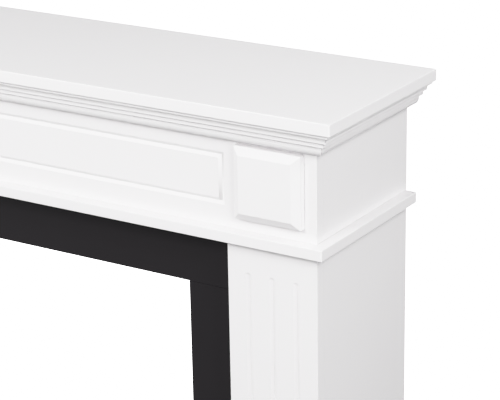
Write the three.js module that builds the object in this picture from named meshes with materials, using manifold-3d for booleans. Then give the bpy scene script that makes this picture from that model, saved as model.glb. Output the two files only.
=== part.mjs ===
// A free-standing fireplace mantelpiece of painted board: a shelf on a mitred cornice, a frieze
// box with a grooved panel and two corner blocks, a ledge, two fluted legs, and a flat black
// frame set back round the fire opening.
// Millimetres, +Z up. The front faces -Y. The origin is on the floor, at the middle of the
// shelf's width and depth.
import * as THREE from "three";
import { ConvexGeometry } from "three/addons/geometries/ConvexGeometry.js";
import { mergeVertices } from "three/addons/utils/BufferGeometryUtils.js";
import Module from "manifold-3d";

// Overall sizes
const mantelHeight = 1041;
const shelfWidth = 1220;
const shelfDepth = 330;

// Boards
const boardThickness = 19;
const ledgeThickness = 18;
const blackPanelThickness = 12;
const jointGap = 0.3;

// Shelf and ledge
const shelfOverhang = 50;
const ledgeOverhang = 18;
const easedEdge = 1.5;
const roundedCorner = 2.2;
const cornerSegments = 4;
const easedSegments = 3;

// Frieze: the box between the shelf and the ledge, and the panel drawn on it by a V-groove
const friezeHeight = 185;
const grooveWidth = 10.5;
const grooveDepth = 3.2;
const panelHeight = 72.8;
const panelAboveLedge = 39.3;
const panelFromEnd = 164;

// How far the shapes that cut grooves stand out of the face, and pass the groove's floor
const cutterProud = 1;
const cutterSpare = 0.5;

// Cornice, from the shelf down
const topFilletProjection = 42.8;
const topFilletHeight = 5.9;
const coveRadius = 9;
const lipHeight = 1.9;
const stepProjection = 27.2;
const stepHeight = 8.7;
const quarterRoundProjection = 20.2;
const quarterRoundFillet = 5.7;
const quarterRoundRadius = 12.4;
const curveSegments = 8;

// Corner blocks
const blockWidth = 114;
const blockHeight = 114;
const blockRise = 19;
const blockEdge = 10.5;
const blockSlopeWidth = 12;
const blockAboveLedge = 21;

// Legs
const pilasterWidth = 155.5;
const fluteCount = 3;
const fluteSpacing = 41.5;
const fluteWidth = 10.5;
const fluteDepth = 3.2;
const fluteBelowLedge = 48;
const fluteAboveFloor = 110;
const fluteEndSides = 24;

// Black frame round the opening
const frameSetback = 55;
const headerHeight = 109;
const uprightWidth = 108.5;

// Heights and half widths that follow from those sizes
const bodyWidth = shelfWidth - 2 * shelfOverhang;
const bodyHalf = bodyWidth / 2;
const rearY = shelfDepth / 2;
const frontY = -shelfDepth / 2 + shelfOverhang;
const shelfUnderside = mantelHeight - boardThickness;
const ledgeTop = shelfUnderside - friezeHeight;
const ledgeUnderside = ledgeTop - ledgeThickness;
const legTop = ledgeUnderside - jointGap;
const pilasterInner = bodyHalf - pilasterWidth;
const frameY = frontY + frameSetback;
const openingHalf = pilasterInner - uprightWidth;
const openingTop = ledgeUnderside - headerHeight;

const wasm = await Module();
wasm.setup();

const whitePaint = () =>
  new THREE.MeshStandardMaterial({ color: 0xf4f3f4, roughness: 0.5, metalness: 0 });
const blackPaint = () =>
  new THREE.MeshStandardMaterial({ color: 0x2d2a2d, roughness: 0.55, metalness: 0 });

const mantel = new THREE.Group();

function place(name, geometry, material) {
  const mesh = new THREE.Mesh(geometry, material);
  mesh.name = name;
  mantel.add(mesh);
}

// Cutting one closed geometry out of another
function toManifold(geometry) {
  const bare = geometry.clone();
  bare.deleteAttribute("normal");
  bare.deleteAttribute("uv");
  const merged = mergeVertices(bare, 1e-4);
  return new wasm.Manifold(
    new wasm.Mesh({
      numProp: 3,
      vertProperties: merged.attributes.position.array,
      triVerts: new Uint32Array(merged.index.array),
    }),
  );
}

function cut(geometry, cutters) {
  let solid = toManifold(geometry);
  for (const cutter of cutters) solid = solid.subtract(toManifold(cutter));
  const result = solid.getMesh();
  return new THREE.BufferGeometry()
    .setAttribute("position", new THREE.BufferAttribute(result.vertProperties, 3))
    .setIndex(new THREE.BufferAttribute(result.triVerts, 1));
}

// A square-edged board between two corners
function board(low, high) {
  const size = new THREE.Vector3().subVectors(high, low);
  return new THREE.BoxGeometry(size.x, size.y, size.z).translate(
    (low.x + high.x) / 2,
    (low.y + high.y) / 2,
    (low.z + high.z) / 2,
  );
}

// A flat board with eased edges and small rounded corners, centred on X, back edge at rearY
function easedShelf(width, depth, thickness, underside) {
  const left = -width / 2;
  const front = rearY - depth;
  const r = roundedCorner;
  const outline = new THREE.Shape();
  outline.absarc(left + r, front + r, r, Math.PI, 1.5 * Math.PI);
  outline.absarc(-left - r, front + r, r, 1.5 * Math.PI, 2 * Math.PI);
  outline.absarc(-left - r, rearY - r, r, 0, 0.5 * Math.PI);
  outline.absarc(left + r, rearY - r, r, 0.5 * Math.PI, Math.PI);
  return new THREE.ExtrudeGeometry(outline, {
    depth: thickness - 2 * easedEdge,
    steps: 1,
    curveSegments: cornerSegments,
    bevelEnabled: true,
    bevelThickness: easedEdge,
    bevelSize: easedEdge,
    bevelOffset: -easedEdge,
    bevelSegments: easedSegments,
  }).translate(0, 0, underside + easedEdge);
}

// The cornice's section: x is the projection from the body, y the height below the shelf
function corniceSection() {
  const coveTop = -topFilletHeight;
  const lipProjection = topFilletProjection - coveRadius;
  const lipTop = coveTop - coveRadius;
  const lipBottom = lipTop - lipHeight;
  const stepBottom = lipBottom - stepHeight;
  const roundTop = stepBottom - quarterRoundFillet;
  const roundBottom = roundTop - quarterRoundRadius;
  const section = new THREE.Shape();
  section.moveTo(jointGap, -jointGap);
  section.lineTo(jointGap, roundBottom);
  section.lineTo(quarterRoundProjection - quarterRoundRadius, roundBottom);
  section.absarc(
    quarterRoundProjection - quarterRoundRadius, roundTop, quarterRoundRadius, -Math.PI / 2, 0,
  );
  section.lineTo(quarterRoundProjection, stepBottom);
  section.lineTo(stepProjection, stepBottom);
  section.lineTo(stepProjection, lipBottom);
  section.lineTo(lipProjection, lipBottom);
  section.absarc(topFilletProjection, lipTop, coveRadius, Math.PI, Math.PI / 2, true);
  section.lineTo(topFilletProjection, -jointGap);
  return section;
}

// A length of cornice along +X from 0, on a body face that lies in the plane y = 0 and looks
// to -Y. A mitred end runs on by its projection, less half the joint's gap. The extrusion's
// start becomes the far end, so that the faces still point out after the axes change places.
function corniceLength(length, mitreAtStart, mitreAtEnd) {
  const geometry = new THREE.ExtrudeGeometry(corniceSection(), {
    depth: length,
    steps: 1,
    curveSegments,
    bevelEnabled: false,
  });
  const trim = (jointGap / 2) * Math.SQRT2;
  const position = geometry.getAttribute("position");
  for (let i = 0; i < position.count; i += 1) {
    const projection = position.getX(i);
    const height = position.getY(i);
    const atEnd = position.getZ(i) < length / 2;
    let along = atEnd ? length : 0;
    if (atEnd && mitreAtEnd) along += projection - trim;
    if (!atEnd && mitreAtStart) along -= projection - trim;
    position.setXYZ(i, along, -projection, height);
  }
  return geometry;
}

// A V-groove along a rectangle, as the space that a cutter takes out of a face in the plane
// y = frontY: a tapered slab less the tapered slab that stays standing inside it
function taperedSlab(halfWidth, halfHeight, centreZ, taper, depthIn) {
  const slope = (taper * grooveWidth) / 2 / grooveDepth;
  const points = [];
  for (const [depth, grown] of [[depthIn, -slope * depthIn], [-cutterProud, slope * cutterProud]]) {
    for (const sx of [-1, 1]) {
      for (const sz of [-1, 1]) {
        points.push(
          new THREE.Vector3(
            sx * (halfWidth + grown), frontY + depth, centreZ + sz * (halfHeight + grown),
          ),
        );
      }
    }
  }
  return new ConvexGeometry(points);
}

function panelGroove() {
  const halfWidth = bodyHalf - panelFromEnd;
  const halfHeight = panelHeight / 2;
  const centreZ = ledgeTop + panelAboveLedge + halfHeight;
  const outer = taperedSlab(
    halfWidth + grooveWidth / 2, halfHeight + grooveWidth / 2, centreZ, 1, grooveDepth,
  );
  const inner = taperedSlab(
    halfWidth - grooveWidth / 2, halfHeight - grooveWidth / 2, centreZ, -1, grooveDepth + cutterSpare,
  );
  return cut(outer, [inner]);
}

// A V-flute with cone-shaped ends, upright on the plane y = frontY
function flute(x, bottom, top) {
  const radius = fluteWidth / 2;
  const mouth = radius * (1 + cutterProud / fluteDepth);
  const points = [];
  for (const [z, phase] of [[bottom + radius, Math.PI], [top - radius, 0]]) {
    points.push(new THREE.Vector3(x, frontY + fluteDepth, z));
    for (let i = 0; i <= fluteEndSides / 2; i += 1) {
      const angle = phase + (i * 2 * Math.PI) / fluteEndSides;
      points.push(
        new THREE.Vector3(
          x + mouth * Math.cos(angle), frontY - cutterProud, z + mouth * Math.sin(angle),
        ),
      );
    }
  }
  return new ConvexGeometry(points);
}

// A raised block with a square edge and four sloped sides, on the frieze at x
function cornerBlock(x) {
  const centreZ = ledgeTop + blockAboveLedge + blockHeight / 2;
  const back = frontY - jointGap;
  const levels = [
    [back, 0],
    [back - blockEdge, 0],
    [back - blockRise, blockSlopeWidth],
  ];
  const points = [];
  for (const [y, inset] of levels) {
    for (const sx of [-1, 1]) {
      for (const sz of [-1, 1]) {
        points.push(
          new THREE.Vector3(
            x + sx * (blockWidth / 2 - inset), y, centreZ + sz * (blockHeight / 2 - inset),
          ),
        );
      }
    }
  }
  return new ConvexGeometry(points);
}

const at = (x, y, z) => new THREE.Vector3(x, y, z);
const sides = [["left", -1], ["right", 1]];

// A board that is placed for the right-hand side and mirrored for the left
function sideBoard(side, inner, outer, nearY, farY, bottom, top) {
  const low = Math.min(side * inner, side * outer);
  const high = Math.max(side * inner, side * outer);
  return board(at(low, nearY, bottom), at(high, farY, top));
}

// Shelf, ledge and frieze box
place("mantel_shelf", easedShelf(shelfWidth, shelfDepth, boardThickness, shelfUnderside), whitePaint());
place(
  "ledge_board",
  easedShelf(
    bodyWidth + 2 * ledgeOverhang, rearY - frontY + ledgeOverhang, ledgeThickness, ledgeUnderside,
  ),
  whitePaint(),
);

const friezeBottom = ledgeTop + jointGap;
const friezeTop = shelfUnderside - jointGap;
const behindFront = frontY + boardThickness;
const friezeFront = board(
  at(-bodyHalf, frontY, friezeBottom), at(bodyHalf, behindFront, friezeTop),
);
place("frieze_board", cut(friezeFront, [panelGroove()]), whitePaint());

for (const [word, side] of sides) {
  place(
    `frieze_side_${word}`,
    sideBoard(
      side, bodyHalf - boardThickness, bodyHalf, behindFront + jointGap, rearY, friezeBottom, friezeTop,
    ),
    whitePaint(),
  );
  const blockX = side * (bodyHalf - pilasterWidth / 2);
  place(`corner_block_${word}`, cornerBlock(blockX), whitePaint());
}

// Cornice: the front length, and a return along each end back to the rear
place(
  "cornice_front",
  corniceLength(bodyWidth, true, true).translate(-bodyHalf, frontY, shelfUnderside),
  whitePaint(),
);
const returnLength = rearY - frontY;
place(
  "cornice_right",
  corniceLength(returnLength, true, false)
    .rotateZ(Math.PI / 2)
    .translate(bodyHalf, frontY, shelfUnderside),
  whitePaint(),
);
place(
  "cornice_left",
  corniceLength(returnLength, false, true)
    .rotateZ(-Math.PI / 2)
    .translate(-bodyHalf, rearY, shelfUnderside),
  whitePaint(),
);

// Legs: a fluted front, an outer side and an inner return
for (const [word, side] of sides) {
  const middle = side * (bodyHalf - pilasterWidth / 2);
  const flutes = [];
  for (let i = 0; i < fluteCount; i += 1) {
    const x = middle + (i - (fluteCount - 1) / 2) * fluteSpacing;
    flutes.push(flute(x, fluteAboveFloor, ledgeUnderside - fluteBelowLedge));
  }
  const front = sideBoard(side, pilasterInner, bodyHalf, frontY, behindFront, 0, legTop);
  place(`pilaster_front_${word}`, cut(front, flutes), whitePaint());
  place(
    `pilaster_side_${word}`,
    sideBoard(side, bodyHalf - boardThickness, bodyHalf, behindFront + jointGap, rearY, 0, legTop),
    whitePaint(),
  );
  place(
    `pilaster_return_${word}`,
    sideBoard(
      side, pilasterInner, pilasterInner + boardThickness,
      behindFront + jointGap, frameY - jointGap, 0, legTop,
    ),
    whitePaint(),
  );
}

// Black frame: the header runs right across and the uprights butt below it
const frameOuter = pilasterInner + boardThickness;
const frameBack = frameY + blackPanelThickness;
place(
  "opening_header",
  board(at(-frameOuter, frameY, openingTop), at(frameOuter, frameBack, legTop)),
  blackPaint(),
);
for (const [word, side] of sides) {
  place(
    `opening_upright_${word}`,
    sideBoard(side, openingHalf, frameOuter, frameY, frameBack, 0, openingTop - jointGap),
    blackPaint(),
  );
}

export default mantel;
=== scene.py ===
"""Fine shape, paint and studio for a free-standing white fireplace mantelpiece.

Each operator builds one piece or group of like pieces round the frame's boards. Lengths are
metres. The front faces -Y, Z is up and the floor is at Z = 0.
"""
import math

import bmesh
import bpy
from bpy.props import FloatProperty, FloatVectorProperty, IntProperty, PointerProperty
from bpy.types import Operator, Panel, PropertyGroup
from mathutils import Matrix, Vector


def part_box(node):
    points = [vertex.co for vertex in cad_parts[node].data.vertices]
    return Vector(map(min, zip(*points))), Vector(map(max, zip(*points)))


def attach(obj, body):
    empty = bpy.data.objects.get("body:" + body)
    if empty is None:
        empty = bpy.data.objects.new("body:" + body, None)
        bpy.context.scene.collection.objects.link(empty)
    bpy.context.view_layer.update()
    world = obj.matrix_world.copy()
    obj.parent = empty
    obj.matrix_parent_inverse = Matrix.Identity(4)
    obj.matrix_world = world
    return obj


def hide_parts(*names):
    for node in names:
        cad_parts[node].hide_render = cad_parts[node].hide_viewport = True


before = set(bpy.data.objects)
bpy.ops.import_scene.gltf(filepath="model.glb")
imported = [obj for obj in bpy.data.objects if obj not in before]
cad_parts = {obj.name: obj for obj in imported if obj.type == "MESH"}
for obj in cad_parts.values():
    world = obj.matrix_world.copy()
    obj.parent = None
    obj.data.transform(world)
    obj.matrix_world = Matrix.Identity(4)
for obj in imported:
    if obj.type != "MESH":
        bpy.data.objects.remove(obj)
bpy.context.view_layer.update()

bl_info = {
    "name": "Painted mantelpiece",
    "version": (1, 0, 0),
    "blender": (4, 5, 0),
    "location": "3D View > Sidebar > Mantelpiece",
    "description": "Builds a painted fibreboard mantelpiece and the studio that it stands in",
    "category": "Add Mesh",
}

SIDES = ("left", "right")

# The square shoulders between eased edges stay crisp above this angle
CRISP_ANGLE = math.radians(40)
# Edges flatter than this are lines across a flat board, not arrises
ARRIS_ANGLE = math.radians(20)
# A unit direction with this much of an axis in it runs along that axis
ALONG_AXIS = 0.999
# Vertices nearer than this are on the same plane
ON_PLANE = 1e-5
# Vertices nearer than this are one point
SAME_POINT = 1e-7

# How many straight parts draw each curve
EASE_PARTS = 3
SQUARE_BOARD_EASE_PARTS = 2
SHELF_CORNER_PARTS = 4
GROOVE_LIP_PARTS = 3
QUARTER_CIRCLE_PARTS = 10
FLUTE_ENDS_PARTS = 32
FILM_CURVE_PARTS = 10

# Marks in the sprayed coat for each metre: its clouds, its patches of gloss and its ripple
CLOUDS = 5.0
GLOSS_PATCHES = 60.0
RIPPLES = 400.0
# Along a moulding the coat's marks come this much more seldom, so they are drawn out
DRAWN_OUT = 0.06

FLOOR_PAINT = (0.9, 0.9, 0.9, 1.0)
FLOOR_ROUGHNESS = 0.9
PURE_WHITE = (1.0, 1.0, 1.0, 1.0)
# Light this bright comes out of the film as pure white
FILM_WHITE = 3.0
# The soft boxes face the upper right-hand corner
LIGHT_AIM = (0.4, 0.0, 0.85)
# Each soft box's heading to the right of the front and height, both in degrees, then its width
# and distance in metres and its power in watts
SOFT_BOXES = {
    "front_key": (-5, 30, 0.5, 3.0, 36.5),
    "corner_key": (50, 31, 0.5, 3.0, 22.0),
    "side_key": (85, 38, 0.5, 2.0, 5.0),
    "right_fill": (75, 9, 2.0, 3.0, 32.0),
    "left_fill": (-60, 14, 2.0, 3.0, 28.0),
}


def length(label, description, default):
    """A property that holds a length in metres."""
    return FloatProperty(
        name=label, description=description, default=default, min=0.0, unit="LENGTH",
        subtype="DISTANCE", precision=5,
    )


def turn(label, description, degrees):
    """A property that holds an angle, given in degrees."""
    return FloatProperty(
        name=label, description=description, default=math.radians(degrees), unit="ROTATION",
        subtype="ANGLE",
    )


def colour(label, description, default):
    """A property that holds a linear colour."""
    return FloatVectorProperty(
        name=label, description=description, default=default, size=3, min=0.0, max=1.0,
        subtype="COLOR",
    )


def amount(label, description, default, largest=1.0):
    """A property that holds a plain number from nought."""
    return FloatProperty(
        name=label, description=description, default=default, min=0.0, max=largest, precision=4,
    )


class BoardSizes(PropertyGroup):
    """How the boards' edges are finished."""

    shelf_ease: length("Shelf ease", "Rounding along the shelf's and ledge's edges", 0.0015)
    shelf_corner: length("Shelf corner", "Rounding of the shelf's and ledge's corners", 0.0022)
    board_ease: length("Board ease", "Rounding of the front boards' outer edges", 0.0008)
    joint_ease: length("Joint ease", "Rounding of an edge that meets another board", 0.0003)
    black_ease: length("Black board ease", "Rounding of the black frame's edges", 0.0005)


class CorniceSizes(PropertyGroup):
    """The moulding under the shelf, measured out from the frieze and down from the shelf."""

    joint: length("Joint", "Gap between the moulding and what it is glued to", 0.0003)
    top_fillet_projection: length("Top fillet projection", "How far it stands out", 0.0428)
    top_fillet_height: length("Top fillet height", "Height of the square top member", 0.0059)
    cove_radius: length("Cove radius", "Radius of the hollow under the top fillet", 0.009)
    lip_height: length("Lip height", "Height of the lip under the hollow", 0.0019)
    step_projection: length("Step projection", "How far the step stands out", 0.0272)
    step_height: length("Step height", "Height of the step", 0.0087)
    round_projection: length("Quarter round projection", "How far it stands out", 0.0202)
    round_fillet: length("Quarter round fillet", "Flat part above the quarter round", 0.0057)
    round_radius: length("Quarter round radius", "Radius of the quarter round", 0.0124)
    ease: length("Ease", "Rounding of the moulding's arrises under its paint", 0.0004)


class FriezeSizes(PropertyGroup):
    """The routed panel and the raised blocks on the frieze."""

    groove_width: length("Groove width", "Width of the V-groove at the face", 0.0105)
    groove_depth: length("Groove depth", "Depth of the V-groove", 0.0032)
    groove_lip: length("Groove lip", "Rounding where the groove meets the face", 0.0003)
    groove_floor: length("Groove floor", "Width of the flat that the cutter's tip leaves", 0.0002)
    panel_height: length("Panel height", "Height between the grooves' middles", 0.0728)
    panel_above_ledge: length("Panel above ledge", "From the ledge to the lower groove", 0.0393)
    panel_from_end: length("Panel from end", "From the frieze's end to the groove", 0.164)
    block_edge: length("Block edge", "Height of the block's square edge", 0.0105)
    block_rise: length("Block rise", "Height of the block's face above the frieze", 0.019)
    block_slope: length("Block slope", "Width of the block's sloped sides", 0.012)
    block_ease: length("Block ease", "Rounding of the block's arrises", 0.0008)


class LegSizes(PropertyGroup):
    """The V-flutes down the legs' fronts."""

    flute_count: IntProperty(name="Flutes", description="Flutes on each leg", default=3, min=1)
    flute_spacing: length("Flute spacing", "From one flute's middle to the next", 0.0415)
    flute_width: length("Flute width", "Width of a flute at the face", 0.0105)
    flute_depth: length("Flute depth", "Depth of a flute", 0.0032)
    flute_lip: length("Flute lip", "Rounding where a flute meets the face", 0.0003)
    flute_floor: length("Flute floor", "Width of the flat that the cutter's tip leaves", 0.0002)
    flute_below_top: length("Flute below top", "From the leg's top to the flute", 0.0477)
    flute_above_floor: length("Flute above floor", "From the floor to the flute", 0.11)


class PaintSettings(PropertyGroup):
    """Colours and gloss of the two paints."""

    white: colour("White paint", "Satin white, linear", (0.876, 0.862, 0.870))
    white_clouded: colour("White paint, thicker", "Where the coat is thicker", (0.891, 0.88, 0.886))
    black: colour("Black paint", "Matt black, linear", (0.0115, 0.0095, 0.0115))
    black_clouded: colour("Black paint, thinner", "Where the coat is thinner", (0.014, 0.012, 0.0145))
    white_satin: amount("White satin", "Roughness of the smoothest white", 0.42)
    white_dull: amount("White dull", "Roughness of the dullest white", 0.5)
    black_satin: amount("Black satin", "Roughness of the smoothest black", 0.5)
    black_dull: amount("Black dull", "Roughness of the dullest black", 0.6)
    white_mirror: amount("White mirror", "How strongly the white paint mirrors the light", 0.5)
    black_mirror: amount("Black mirror", "How strongly the black paint mirrors the light", 0.27)
    peel_height: length("Peel height", "Height of the spray coat's ripple", 0.00002)


class StudioSettings(PropertyGroup):
    """Camera, lights and floor."""

    camera_heading: turn("Camera heading", "Turn to the left of +Y", 32.369)
    camera_pitch: turn("Camera pitch", "How far the camera looks down", 19.549)
    camera_roll: turn("Camera roll", "Lean of the camera", -1.053)
    camera_place: FloatVectorProperty(
        name="Camera place", description="Where the camera stands", size=3, subtype="XYZ",
        unit="LENGTH", default=(1.87851, -2.37485, 1.83706), precision=5,
    )
    camera_lens: FloatProperty(
        name="Lens", description="Focal length in millimetres", default=138.6, min=1.0,
    )
    floor_size: length("Floor size", "Width of the studio floor", 24.0)
    floor_glow: amount("Floor glow", "How far the floor outshines its paint", 2.6, 10.0)
    ceiling: amount("Ceiling", "Brightness of the studio's ceiling", 0.79, 10.0)
    bounce: amount("Bounce", "Brightness of the light that the floor sends up", 0.48, 10.0)
    front_wall: amount("Front wall", "Brightness of the wall before the object", 0.286, 10.0)
    backdrop: amount("Backdrop", "Brightness of the walls as the camera sees them", 0.5, 10.0)
    film_knee: amount("Film knee", "Brightness above which the film holds back", 0.65)


# Meshes

def solid_board(low, high):
    """A square-edged board between two corners."""
    bm = bmesh.new()
    bmesh.ops.create_cube(bm, size=1.0)
    bmesh.ops.scale(bm, vec=high - low, verts=bm.verts)
    bmesh.ops.translate(bm, vec=(low + high) / 2, verts=bm.verts)
    return bm


def ease(bm, edges, radius, parts=EASE_PARTS):
    """Rounds arrises."""
    bmesh.ops.bevel(
        bm, geom=edges, offset=radius, offset_type="OFFSET", segments=parts, profile=0.5,
        affect="EDGES", clamp_overlap=True, material=-1,
    )


def upright_edges(bm):
    """Edges that stand straight up."""
    def rise(edge):
        return abs((edge.verts[0].co - edge.verts[1].co).normalized().z)
    return [e for e in bm.edges if rise(e) > ALONG_AXIS]


def front_uprights(bm, front):
    """Upright edges at a board's front."""
    return [e for e in upright_edges(bm) if e.verts[0].co.y < front + ON_PLANE]


def arrises(bm):
    """Edges where two faces turn a corner."""
    return [e for e in bm.edges if e.is_manifold and e.calc_face_angle(0.0) > ARRIS_ANGLE]


def level_edges_at(bm, height):
    """Arrises whose two ends lie at that height."""
    return [
        e for e in arrises(bm)
        if all(abs(v.co.z - height) < ON_PLANE for v in e.verts)
    ]


def front_faces(bm):
    """Faces that look to -Y."""
    return [f for f in bm.faces if f.normal.y < -ALONG_AXIS]


def front_face_at(bm, x, z):
    """The front face whose middle is nearest to that point."""
    def reach(face):
        centre = face.calc_center_bounds()
        return math.hypot(centre.x - x, centre.z - z)
    return min(front_faces(bm), key=reach)


def v_groove_steps(half_width, depth, lip, floor_half):
    """Steps, as (width, depth), from a face down a groove's wall: a rounded lip, then the wall."""
    wall_width = half_width - lip
    slope = math.atan2(depth, wall_width)
    radius = lip / math.tan(slope / 2)
    steps = []
    for i in range(GROOVE_LIP_PARTS):
        near = slope * i / GROOVE_LIP_PARTS
        far = slope * (i + 1) / GROOVE_LIP_PARTS
        steps.append((
            radius * (math.sin(far) - math.sin(near)),
            -radius * (math.cos(near) - math.cos(far)),
        ))
    width_left = half_width - floor_half - sum(step[0] for step in steps)
    depth_left = -depth * (1 - floor_half / wall_width) - sum(step[1] for step in steps)
    steps.append((width_left, depth_left))
    return steps


def sink(bm, face, steps):
    """Insets a face along the steps, each one further in and deeper."""
    for width, depth in steps:
        bmesh.ops.inset_individual(
            bm, faces=[face], thickness=width, depth=depth, use_even_offset=True,
        )


def finish_mesh(bm, name):
    """Points faces outwards, smooths round stretches and gives the mesh."""
    bmesh.ops.remove_doubles(bm, verts=bm.verts, dist=SAME_POINT)
    bmesh.ops.recalc_face_normals(bm, faces=bm.faces)
    for face in bm.faces:
        face.smooth = True
    for edge in bm.edges:
        edge.smooth = edge.is_manifold and edge.calc_face_angle(0.0) < CRISP_ANGLE
    mesh = bpy.data.meshes.new(name)
    bm.to_mesh(mesh)
    bm.free()
    return mesh


def place_piece(name, bm, paint, node):
    """Links a finished piece that stands for a board of the frame."""
    piece = bpy.data.objects.new(name, finish_mesh(bm, name))
    piece.data.materials.append(paint)
    bpy.context.scene.collection.objects.link(piece)
    even = piece.modifiers.new("even_shading", "WEIGHTED_NORMAL")
    even.mode = "FACE_AREA"
    even.keep_sharp = True
    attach(piece, "root")
    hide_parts(node)


def place_white(scene, name, bm, node):
    """Places a board in white paint."""
    place_piece(name, bm, white_paint(scene), node)


# Paint

def add_input(group, label, kind, default=None):
    """Gives a node group an input socket."""
    socket = group.interface.new_socket(label, in_out="INPUT", socket_type=kind)
    if default is not None:
        socket.default_value = default


def sprayed_paint_group():
    """A sprayed coat: slow clouds in its colour, patches of gloss and a fine ripple."""
    found = bpy.data.node_groups.get("sprayed_paint")
    if found:
        return found
    group = bpy.data.node_groups.new("sprayed_paint", "ShaderNodeTree")
    add_input(group, "Paint", "NodeSocketColor")
    add_input(group, "Clouded Paint", "NodeSocketColor")
    add_input(group, "Stretch", "NodeSocketVector", (1.0, 1.0, 1.0))
    add_input(group, "Cloud Scale", "NodeSocketFloat", CLOUDS)
    add_input(group, "Gloss Scale", "NodeSocketFloat", GLOSS_PATCHES)
    add_input(group, "Peel Scale", "NodeSocketFloat", RIPPLES)
    add_input(group, "Satin", "NodeSocketFloat")
    add_input(group, "Dull", "NodeSocketFloat")
    group.interface.new_socket("Colour", in_out="OUTPUT", socket_type="NodeSocketColor")
    group.interface.new_socket("Roughness", in_out="OUTPUT", socket_type="NodeSocketFloat")
    group.interface.new_socket("Height", in_out="OUTPUT", socket_type="NodeSocketFloat")
    nodes = group.nodes
    link = group.links.new
    given = nodes.new("NodeGroupInput")
    given.location = (-900, 0)
    result = nodes.new("NodeGroupOutput")
    result.location = (500, 0)
    place = nodes.new("ShaderNodeTexCoord")
    place.location = (-900, 300)
    stretched = nodes.new("ShaderNodeVectorMath")
    stretched.operation = "MULTIPLY"
    stretched.location = (-650, 200)
    link(place.outputs["Object"], stretched.inputs[0])
    link(given.outputs["Stretch"], stretched.inputs[1])

    def noise(scale, detail, row):
        """A noise whose scale is one of the group's inputs."""
        node = nodes.new("ShaderNodeTexNoise")
        node.location = (-400, row)
        node.inputs["Detail"].default_value = detail
        link(stretched.outputs[0], node.inputs["Vector"])
        link(given.outputs[scale], node.inputs["Scale"])
        return node

    clouds = noise("Cloud Scale", detail=3.0, row=300)
    gloss = noise("Gloss Scale", detail=2.0, row=0)
    peel = noise("Peel Scale", detail=1.0, row=-300)
    blend = nodes.new("ShaderNodeMix")
    blend.data_type = "RGBA"
    blend.location = (0, 250)
    link(clouds.outputs["Fac"], blend.inputs["Factor"])
    link(given.outputs["Paint"], blend.inputs["A"])
    link(given.outputs["Clouded Paint"], blend.inputs["B"])
    sheen = nodes.new("ShaderNodeMapRange")
    sheen.location = (0, 0)
    link(gloss.outputs["Fac"], sheen.inputs["Value"])
    link(given.outputs["Satin"], sheen.inputs["To Min"])
    link(given.outputs["Dull"], sheen.inputs["To Max"])
    link(blend.outputs["Result"], result.inputs["Colour"])
    link(sheen.outputs["Result"], result.inputs["Roughness"])
    link(peel.outputs["Fac"], result.inputs["Height"])
    return group


def painted(name, paint, clouded, satin, dull, mirror, peel_height, stretch=(1.0, 1.0, 1.0)):
    """A sprayed paint. Its marks can be drawn out along a moulding by the stretch."""
    found = bpy.data.materials.get(name)
    if found:
        return found
    material = bpy.data.materials.new(name)
    material.use_nodes = True
    nodes = material.node_tree.nodes
    link = material.node_tree.links.new
    surface = nodes["Principled BSDF"]
    surface.inputs["Specular IOR Level"].default_value = mirror
    coat = nodes.new("ShaderNodeGroup")
    coat.node_tree = sprayed_paint_group()
    coat.location = (-500, 0)
    coat.inputs["Paint"].default_value = (*paint, 1.0)
    coat.inputs["Clouded Paint"].default_value = (*clouded, 1.0)
    coat.inputs["Stretch"].default_value = stretch
    coat.inputs["Satin"].default_value = satin
    coat.inputs["Dull"].default_value = dull
    ripple = nodes.new("ShaderNodeBump")
    ripple.location = (-250, -250)
    ripple.inputs["Strength"].default_value = 1.0
    ripple.inputs["Distance"].default_value = peel_height
    link(coat.outputs["Colour"], surface.inputs["Base Color"])
    link(coat.outputs["Roughness"], surface.inputs["Roughness"])
    link(coat.outputs["Height"], ripple.inputs["Height"])
    link(ripple.outputs["Normal"], surface.inputs["Normal"])
    return material


def white_paint(scene, name="white_board_paint", stretch=(1.0, 1.0, 1.0)):
    """The satin white, under another name where its marks are drawn out."""
    paint = scene.mantel_paint
    return painted(
        name, paint.white, paint.white_clouded, paint.white_satin, paint.white_dull,
        paint.white_mirror, paint.peel_height, stretch,
    )


def black_paint(scene):
    """The matt black."""
    paint = scene.mantel_paint
    return painted(
        "black_board_paint", paint.black, paint.black_clouded, paint.black_satin,
        paint.black_dull, paint.black_mirror, paint.peel_height,
    )


# Boards

def eased_shelf(node, sizes):
    """A board with rounded corners and eased edges all round."""
    low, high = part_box(node)
    bm = solid_board(low, high)
    ease(bm, upright_edges(bm), sizes.shelf_corner, SHELF_CORNER_PARTS)
    ease(bm, level_edges_at(bm, low.z) + level_edges_at(bm, high.z), sizes.shelf_ease)
    return bm


def eased_board(node, radius):
    """A board whose twelve edges are rounded alike."""
    bm = solid_board(*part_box(node))
    ease(bm, arrises(bm), radius, SQUARE_BOARD_EASE_PARTS)
    return bm


class MANTEL_OT_shelf(Operator):
    """Build the top shelf"""

    bl_idname = "mantel.shelf"
    bl_label = "Shelf"

    def execute(self, context):
        scene = context.scene
        bm = eased_shelf("mantel_shelf", scene.mantel_boards)
        place_white(scene, "top_shelf", bm, "mantel_shelf")
        return {"FINISHED"}


class MANTEL_OT_ledge(Operator):
    """Build the thin ledge between the frieze and the legs"""

    bl_idname = "mantel.ledge"
    bl_label = "Ledge"

    def execute(self, context):
        scene = context.scene
        bm = eased_shelf("ledge_board", scene.mantel_boards)
        place_white(scene, "lower_ledge", bm, "ledge_board")
        return {"FINISHED"}


def quarter_turn(bm, start, centre, turned):
    """Draws a quarter circle from a vertex round a centre and gives its last vertex."""
    spun = bmesh.ops.spin(
        bm, geom=[start], cent=centre, axis=(1.0, 0.0, 0.0), dvec=(0.0, 0.0, 0.0),
        angle=turned, steps=QUARTER_CIRCLE_PARTS, use_duplicate=False,
    )
    return next(item for item in spun["geom_last"] if isinstance(item, bmesh.types.BMVert))


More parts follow.
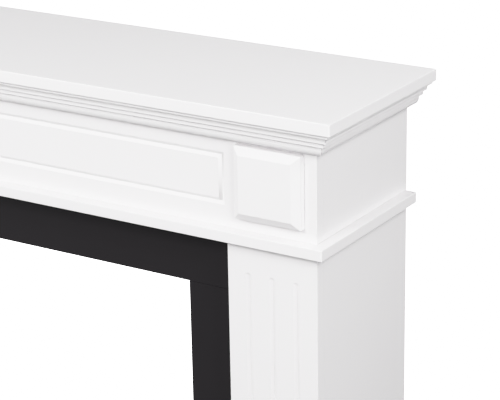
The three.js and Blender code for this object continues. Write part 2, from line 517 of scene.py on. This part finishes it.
def cornice_section(bm, sizes):
    """The moulding's outline in the plane X = 0, as one face. The body's face is Y = 0, the
    shelf's underside is Z = 0."""
    def corner(projection, height):
        """A corner of the outline that stands out that far from the body."""
        return bm.verts.new((0.0, -projection, height))

    cove_top = -sizes.top_fillet_height
    lip_projection = sizes.top_fillet_projection - sizes.cove_radius
    lip_top = cove_top - sizes.cove_radius
    lip_bottom = lip_top - sizes.lip_height
    step_bottom = lip_bottom - sizes.step_height
    round_top = step_bottom - sizes.round_fillet
    round_inner = sizes.round_projection - sizes.round_radius
    round_bottom = round_top - sizes.round_radius

    first = corner(sizes.joint, -sizes.joint)
    fillet_top = corner(sizes.top_fillet_projection, -sizes.joint)
    cove_start = corner(sizes.top_fillet_projection, cove_top)
    cove_end = quarter_turn(
        bm, cove_start, (0.0, -sizes.top_fillet_projection, lip_top), -math.pi / 2,
    )
    under_lip = corner(lip_projection, lip_bottom)
    step_top = corner(sizes.step_projection, lip_bottom)
    step_low = corner(sizes.step_projection, step_bottom)
    under_step = corner(sizes.round_projection, step_bottom)
    round_start = corner(sizes.round_projection, round_top)
    round_end = quarter_turn(bm, round_start, (0.0, -round_inner, round_top), math.pi / 2)
    last = corner(sizes.joint, round_bottom)
    for near, far in (
        (first, fillet_top), (fillet_top, cove_start), (cove_end, under_lip),
        (under_lip, step_top), (step_top, step_low), (step_low, under_step),
        (under_step, round_start), (round_end, last), (last, first),
    ):
        bm.edges.new((near, far))
    bmesh.ops.contextual_create(bm, geom=bm.edges[:])


def cut_end(bm, place, direction):
    """Cuts a moulding off square or on the mitre and closes its end."""
    bmesh.ops.bisect_plane(
        bm, geom=bm.verts[:] + bm.edges[:] + bm.faces[:], dist=SAME_POINT, plane_co=place,
        plane_no=direction, clear_outer=True,
    )
    rim = [e for e in bm.edges if e.is_boundary]
    bmesh.ops.contextual_create(bm, geom=rim)


def cornice_length(run, mitre_start, mitre_end, sizes):
    """A moulding along +X from 0 to run. A mitred end runs on to meet its neighbour."""
    bm = bmesh.new()
    cornice_section(bm, sizes)
    spare = 2 * sizes.top_fillet_projection
    bmesh.ops.translate(bm, vec=(-spare, 0.0, 0.0), verts=bm.verts)
    grown = bmesh.ops.extrude_face_region(bm, geom=bm.faces[:], use_keep_orig=True)
    far = [item for item in grown["geom"] if isinstance(item, bmesh.types.BMVert)]
    bmesh.ops.translate(bm, vec=(run + 2 * spare, 0.0, 0.0), verts=far)
    bmesh.ops.recalc_face_normals(bm, faces=bm.faces)
    lines = [
        e for e in arrises(bm)
        if abs(e.verts[0].co.x - e.verts[1].co.x) > run
        and min(-e.verts[0].co.y, -e.verts[1].co.y) > 2 * sizes.joint
    ]
    ease(bm, lines, sizes.ease)
    trim = sizes.joint / math.sqrt(2)
    for place, outward, mitred in ((0.0, -1.0, mitre_start), (run, 1.0, mitre_end)):
        if mitred:
            way = Vector((outward, 1.0, 0.0)).normalized()
            cut_end(bm, (place - outward * trim, 0.0, 0.0), way)
        else:
            cut_end(bm, (place, 0.0, 0.0), (outward, 0.0, 0.0))
    return bm


class MANTEL_OT_cornice(Operator):
    """Build the mitred moulding under the shelf"""

    bl_idname = "mantel.cornice"
    bl_label = "Cornice"

    def execute(self, context):
        scene = context.scene
        sizes = scene.mantel_cornice
        body_low, body_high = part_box("frieze_board")
        _, side_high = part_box("frieze_side_right")
        shelf_low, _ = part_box("mantel_shelf")
        half = body_high.x
        front = body_low.y
        back = side_high.y
        under = shelf_low.z
        quarter = math.pi / 2
        # Each length's side, run, mitres at its start and end, turn and start
        lengths = (
            ("front", 2 * half, True, True, 0.0, (-half, front, under)),
            ("right", back - front, True, False, quarter, (half, front, under)),
            ("left", back - front, False, True, -quarter, (-half, back, under)),
        )
        front_paint = white_paint(scene, "white_front_moulding_paint", (DRAWN_OUT, 1.0, 1.0))
        side_paint = white_paint(scene, "white_side_moulding_paint", (1.0, DRAWN_OUT, 1.0))
        for word, run, mitre_start, mitre_end, turned, place in lengths:
            bm = cornice_length(run, mitre_start, mitre_end, sizes)
            where = Matrix.Translation(place) @ Matrix.Rotation(turned, 4, "Z")
            bmesh.ops.transform(bm, matrix=where, verts=bm.verts)
            paint = front_paint if word == "front" else side_paint
            place_piece(f"moulding_{word}", bm, paint, f"cornice_{word}")
        return {"FINISHED"}


def split_front(bm, axis, place):
    """Draws a straight line across the front, where that axis has that value."""
    fronts = front_faces(bm)
    geom = set(fronts)
    for face in fronts:
        geom.update(face.edges)
        geom.update(face.verts)
    spot = Vector((0.0, 0.0, 0.0))
    spot[axis] = place
    way = Vector((0.0, 0.0, 0.0))
    way[axis] = 1.0
    bmesh.ops.bisect_plane(bm, geom=list(geom), dist=SAME_POINT, plane_co=spot, plane_no=way)
    bm.normal_update()


class MANTEL_OT_frieze(Operator):
    """Build the frieze: its grooved front and its two ends"""

    bl_idname = "mantel.frieze"
    bl_label = "Frieze"

    def execute(self, context):
        scene = context.scene
        sizes = scene.mantel_frieze
        boards = scene.mantel_boards
        low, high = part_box("frieze_board")
        _, ledge_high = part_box("ledge_board")
        reach = sizes.groove_width / 2
        panel_half = high.x - sizes.panel_from_end
        panel_low = ledge_high.z + sizes.panel_above_ledge
        panel_high = panel_low + sizes.panel_height
        bm = solid_board(low, high)
        ease(bm, front_uprights(bm, low.y), boards.board_ease)
        for place in (-panel_half - reach, panel_half + reach):
            split_front(bm, 0, place)
        for place in (panel_low - reach, panel_high + reach):
            split_front(bm, 2, place)
        panel = front_face_at(bm, 0.0, (panel_low + panel_high) / 2)
        down = v_groove_steps(reach, sizes.groove_depth, sizes.groove_lip, sizes.groove_floor / 2)
        up = [(width, -depth) for width, depth in reversed(down)]
        sink(bm, panel, down + [(sizes.groove_floor, 0.0)] + up)
        place_white(scene, "frieze_front", bm, "frieze_board")
        for word in SIDES:
            node = f"frieze_side_{word}"
            place_white(scene, f"frieze_end_{word}", eased_board(node, boards.joint_ease), node)
        return {"FINISHED"}


class MANTEL_OT_blocks(Operator):
    """Build the raised blocks above the legs"""

    bl_idname = "mantel.blocks"
    bl_label = "Corner blocks"

    def execute(self, context):
        scene = context.scene
        sizes = scene.mantel_frieze
        slope_height = sizes.block_rise - sizes.block_edge
        for word in SIDES:
            node = f"corner_block_{word}"
            low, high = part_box(node)
            bm = solid_board(Vector((low.x, low.y + slope_height, low.z)), high)
            face = front_face_at(bm, (low.x + high.x) / 2, (low.z + high.z) / 2)
            sink(bm, face, [(sizes.block_slope, slope_height)])
            proud = [e for e in arrises(bm) if min(v.co.y for v in e.verts) < high.y - ON_PLANE]
            ease(bm, proud, sizes.block_ease)
            place_white(scene, f"raised_block_{word}", bm, node)
        return {"FINISHED"}


def flute_outline(bm, x, front, bottom, top, half_width):
    """An upright outline with round ends, as one face that looks to -Y."""
    half_part = math.pi / FLUTE_ENDS_PARTS
    drawn = bmesh.ops.create_circle(
        bm, cap_ends=True, segments=FLUTE_ENDS_PARTS, radius=half_width / math.cos(half_part),
        matrix=Matrix.Rotation(math.pi / 2, 4, "X") @ Matrix.Rotation(half_part, 4, "Z"),
    )
    verts = drawn["verts"]
    upper = [v for v in verts if v.co.z > 0]
    bmesh.ops.translate(bm, vec=(0.0, 0.0, top - bottom - 2 * half_width), verts=upper)
    bmesh.ops.translate(bm, vec=(x, front, bottom + half_width), verts=verts)
    face = verts[0].link_faces[0]
    face.normal_update()
    if face.normal.y > 0:
        face.normal_flip()
    return face


def fluted_front(low, high, legs, boards):
    """A leg's front board with upright V-flutes sunk in it."""
    bm = solid_board(low, high)
    ease(bm, front_uprights(bm, low.y), boards.board_ease)
    front = front_face_at(bm, (low.x + high.x) / 2, (low.z + high.z) / 2)
    bmesh.ops.delete(bm, geom=[front], context="FACES_ONLY")
    steps = v_groove_steps(
        legs.flute_width / 2, legs.flute_depth, legs.flute_lip, legs.flute_floor / 2,
    )
    middle = (low.x + high.x) / 2
    bottom = low.z + legs.flute_above_floor
    top = high.z - legs.flute_below_top
    for i in range(legs.flute_count):
        x = middle + (i - (legs.flute_count - 1) / 2) * legs.flute_spacing
        face = flute_outline(bm, x, low.y, bottom, top, legs.flute_width / 2)
        sink(bm, face, steps)
    rims = [e for e in bm.edges if e.is_boundary]
    bmesh.ops.triangle_fill(bm, edges=rims, use_beauty=True, use_dissolve=False, normal=(0, -1, 0))
    return bm


class MANTEL_OT_legs(Operator):
    """Build the legs: fluted fronts, outer sides and inner returns"""

    bl_idname = "mantel.legs"
    bl_label = "Legs"

    def execute(self, context):
        scene = context.scene
        boards = scene.mantel_boards
        for word in SIDES:
            node = f"pilaster_front_{word}"
            bm = fluted_front(*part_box(node), scene.mantel_legs, boards)
            place_white(scene, f"fluted_front_{word}", bm, node)
            for part in ("side", "return"):
                node = f"pilaster_{part}_{word}"
                place_white(scene, f"leg_{part}_{word}", eased_board(node, boards.joint_ease), node)
        return {"FINISHED"}


class MANTEL_OT_black_frame(Operator):
    """Build the black boards round the opening"""

    bl_idname = "mantel.black_frame"
    bl_label = "Black frame"

    def execute(self, context):
        scene = context.scene
        for part in ("header", "upright_left", "upright_right"):
            node = f"opening_{part}"
            bm = eased_board(node, scene.mantel_boards.black_ease)
            place_piece(f"black_{part}", bm, black_paint(scene), node)
        return {"FINISHED"}


# Studio

def floor_material(glow):
    """Plain white floor paint, lit up to a pure white."""
    material = bpy.data.materials.new("studio_floor_paint")
    material.use_nodes = True
    surface = material.node_tree.nodes["Principled BSDF"]
    surface.inputs["Base Color"].default_value = FLOOR_PAINT
    surface.inputs["Roughness"].default_value = FLOOR_ROUGHNESS
    surface.inputs["Emission Color"].default_value = PURE_WHITE
    surface.inputs["Emission Strength"].default_value = glow
    return material


def studio_floor(size, glow):
    """A floor that backs the picture. It sends no light up: the bounce setting stands for it."""
    bm = bmesh.new()
    bmesh.ops.create_grid(bm, x_segments=1, y_segments=1, size=size / 2)
    mesh = bpy.data.meshes.new("studio_floor")
    bm.to_mesh(mesh)
    bm.free()
    mesh.materials.append(floor_material(glow))
    floor = bpy.data.objects.new("studio_floor", mesh)
    floor.visible_diffuse = False
    floor.visible_glossy = False
    floor.visible_shadow = False
    bpy.context.scene.collection.objects.link(floor)


def wall_light(tree, direction, way, brightness):
    """The light of one wall, brightest straight towards it and dark from the sides on."""
    facing = tree.nodes.new("ShaderNodeVectorMath")
    facing.operation = "DOT_PRODUCT"
    facing.inputs[1].default_value = [brightness * part for part in way]
    tree.links.new(direction, facing.inputs[0])
    lit = tree.nodes.new("ShaderNodeMath")
    lit.operation = "MAXIMUM"
    lit.inputs[1].default_value = 0.0
    tree.links.new(facing.outputs["Value"], lit.inputs[0])
    return lit.outputs["Value"]


def studio_walls(studio):
    """The studio round the object, whose walls light it. The camera sees an even backdrop in
    their place."""
    world = bpy.data.worlds.new("studio_walls")
    world.use_nodes = True
    tree = world.node_tree
    direction = tree.nodes.new("ShaderNodeTexCoord").outputs["Generated"]
    total = wall_light(tree, direction, (0.0, 0.0, 1.0), studio.ceiling)
    for way, brightness in (
        ((0.0, 0.0, -1.0), studio.bounce),
        ((0.0, -1.0, 0.0), studio.front_wall),
    ):
        added = tree.nodes.new("ShaderNodeMath")
        added.operation = "ADD"
        tree.links.new(total, added.inputs[0])
        tree.links.new(wall_light(tree, direction, way, brightness), added.inputs[1])
        total = added.outputs["Value"]
    seen = tree.nodes.new("ShaderNodeLightPath")
    shown = tree.nodes.new("ShaderNodeMix")
    shown.inputs["B"].default_value = studio.backdrop
    tree.links.new(seen.outputs["Is Camera Ray"], shown.inputs["Factor"])
    tree.links.new(total, shown.inputs["A"])
    background = tree.nodes["Background"]
    background.inputs["Color"].default_value = PURE_WHITE
    tree.links.new(shown.outputs["Result"], background.inputs["Strength"])
    bpy.context.scene.world = world


def soft_box(name, heading, height, width, distance, power):
    """A square soft box: its heading turns from the front to the right, its height is an angle."""
    turned = math.radians(heading)
    raised = math.radians(height)
    way = Vector((
        math.sin(turned) * math.cos(raised), -math.cos(turned) * math.cos(raised), math.sin(raised),
    ))
    data = bpy.data.lights.new(name, "AREA")
    data.shape = "SQUARE"
    data.size = width
    data.energy = power
    light = bpy.data.objects.new(name, data)
    light.matrix_world = (
        Matrix.Translation(Vector(LIGHT_AIM) + way * distance)
        @ (-way).to_track_quat("-Z", "Y").to_matrix().to_4x4()
    )
    bpy.context.scene.collection.objects.link(light)


def film_response(scene, knee):
    """A film that follows the light up to the knee and then holds back, up to pure white."""
    view = scene.view_settings
    view.view_transform = "Standard"
    view.use_curve_mapping = True
    mapping = view.curve_mapping
    mapping.white_level = (FILM_WHITE, FILM_WHITE, FILM_WHITE)
    # The last of the four curves acts on all three colours
    curve = mapping.curves[3]
    room = 1.0 - knee
    for i in range(FILM_CURVE_PARTS):
        over = (FILM_WHITE - knee) * (i / FILM_CURVE_PARTS) ** 2
        response = knee + room * (1.0 - math.exp(-over / room))
        curve.points.new((knee + over) / FILM_WHITE, response)
    # The stretch below the knee is straight
    for point in curve.points[:2]:
        point.handle_type = "VECTOR"
    mapping.update()


def place_camera(scene, studio):
    """Puts the camera where the photograph was taken from."""
    data = bpy.data.cameras.new("photo_camera")
    data.lens = studio.camera_lens
    camera = bpy.data.objects.new("photo_camera", data)
    camera.matrix_world = (
        Matrix.Translation(studio.camera_place)
        @ Matrix.Rotation(studio.camera_heading, 4, "Z")
        @ Matrix.Rotation(math.pi / 2 - studio.camera_pitch, 4, "X")
        @ Matrix.Rotation(studio.camera_roll, 4, "Z")
    )
    scene.collection.objects.link(camera)
    scene.camera = camera


class MANTEL_OT_studio(Operator):
    """Set up the floor, the lights and the camera"""

    bl_idname = "mantel.studio"
    bl_label = "Studio"

    def execute(self, context):
        scene = context.scene
        studio = scene.mantel_studio
        studio_floor(studio.floor_size, studio.floor_glow)
        studio_walls(studio)
        for name, placing in SOFT_BOXES.items():
            soft_box(name, *placing)
        film_response(scene, studio.film_knee)
        place_camera(scene, studio)
        return {"FINISHED"}


class VIEW3D_PT_mantelpiece(Panel):
    """Lists what builds the mantelpiece"""

    bl_label = "Mantelpiece"
    bl_space_type = "VIEW_3D"
    bl_region_type = "UI"
    bl_category = "Mantelpiece"

    def draw(self, context):
        column = self.layout.column()
        for operator in OPERATORS:
            column.operator(operator.bl_idname)
        for group in GROUPS:
            settings = getattr(context.scene, group)
            for name in settings.__annotations__:
                column.prop(settings, name)


GROUPS = {
    "mantel_boards": BoardSizes,
    "mantel_cornice": CorniceSizes,
    "mantel_frieze": FriezeSizes,
    "mantel_legs": LegSizes,
    "mantel_paint": PaintSettings,
    "mantel_studio": StudioSettings,
}
OPERATORS = (
    MANTEL_OT_studio,
    MANTEL_OT_shelf,
    MANTEL_OT_cornice,
    MANTEL_OT_frieze,
    MANTEL_OT_blocks,
    MANTEL_OT_ledge,
    MANTEL_OT_legs,
    MANTEL_OT_black_frame,
)


def register():
    """Makes the sizes, the operators and the panel known to Blender."""
    for name, group in GROUPS.items():
        bpy.utils.register_class(group)
        setattr(bpy.types.Scene, name, PointerProperty(type=group))
    for operator in OPERATORS:
        bpy.utils.register_class(operator)
    bpy.utils.register_class(VIEW3D_PT_mantelpiece)


def unregister():
    """Takes them away again, last first."""
    bpy.utils.unregister_class(VIEW3D_PT_mantelpiece)
    for operator in reversed(OPERATORS):
        bpy.utils.unregister_class(operator)
    for name, group in reversed(GROUPS.items()):
        delattr(bpy.types.Scene, name)
        bpy.utils.unregister_class(group)


def main():
    """Builds everything."""
    register()
    bpy.ops.mantel.studio()
    bpy.ops.mantel.shelf()
    bpy.ops.mantel.cornice()
    bpy.ops.mantel.frieze()
    bpy.ops.mantel.blocks()
    bpy.ops.mantel.ledge()
    bpy.ops.mantel.legs()
    bpy.ops.mantel.black_frame()


if __name__ == "__main__":
    main()
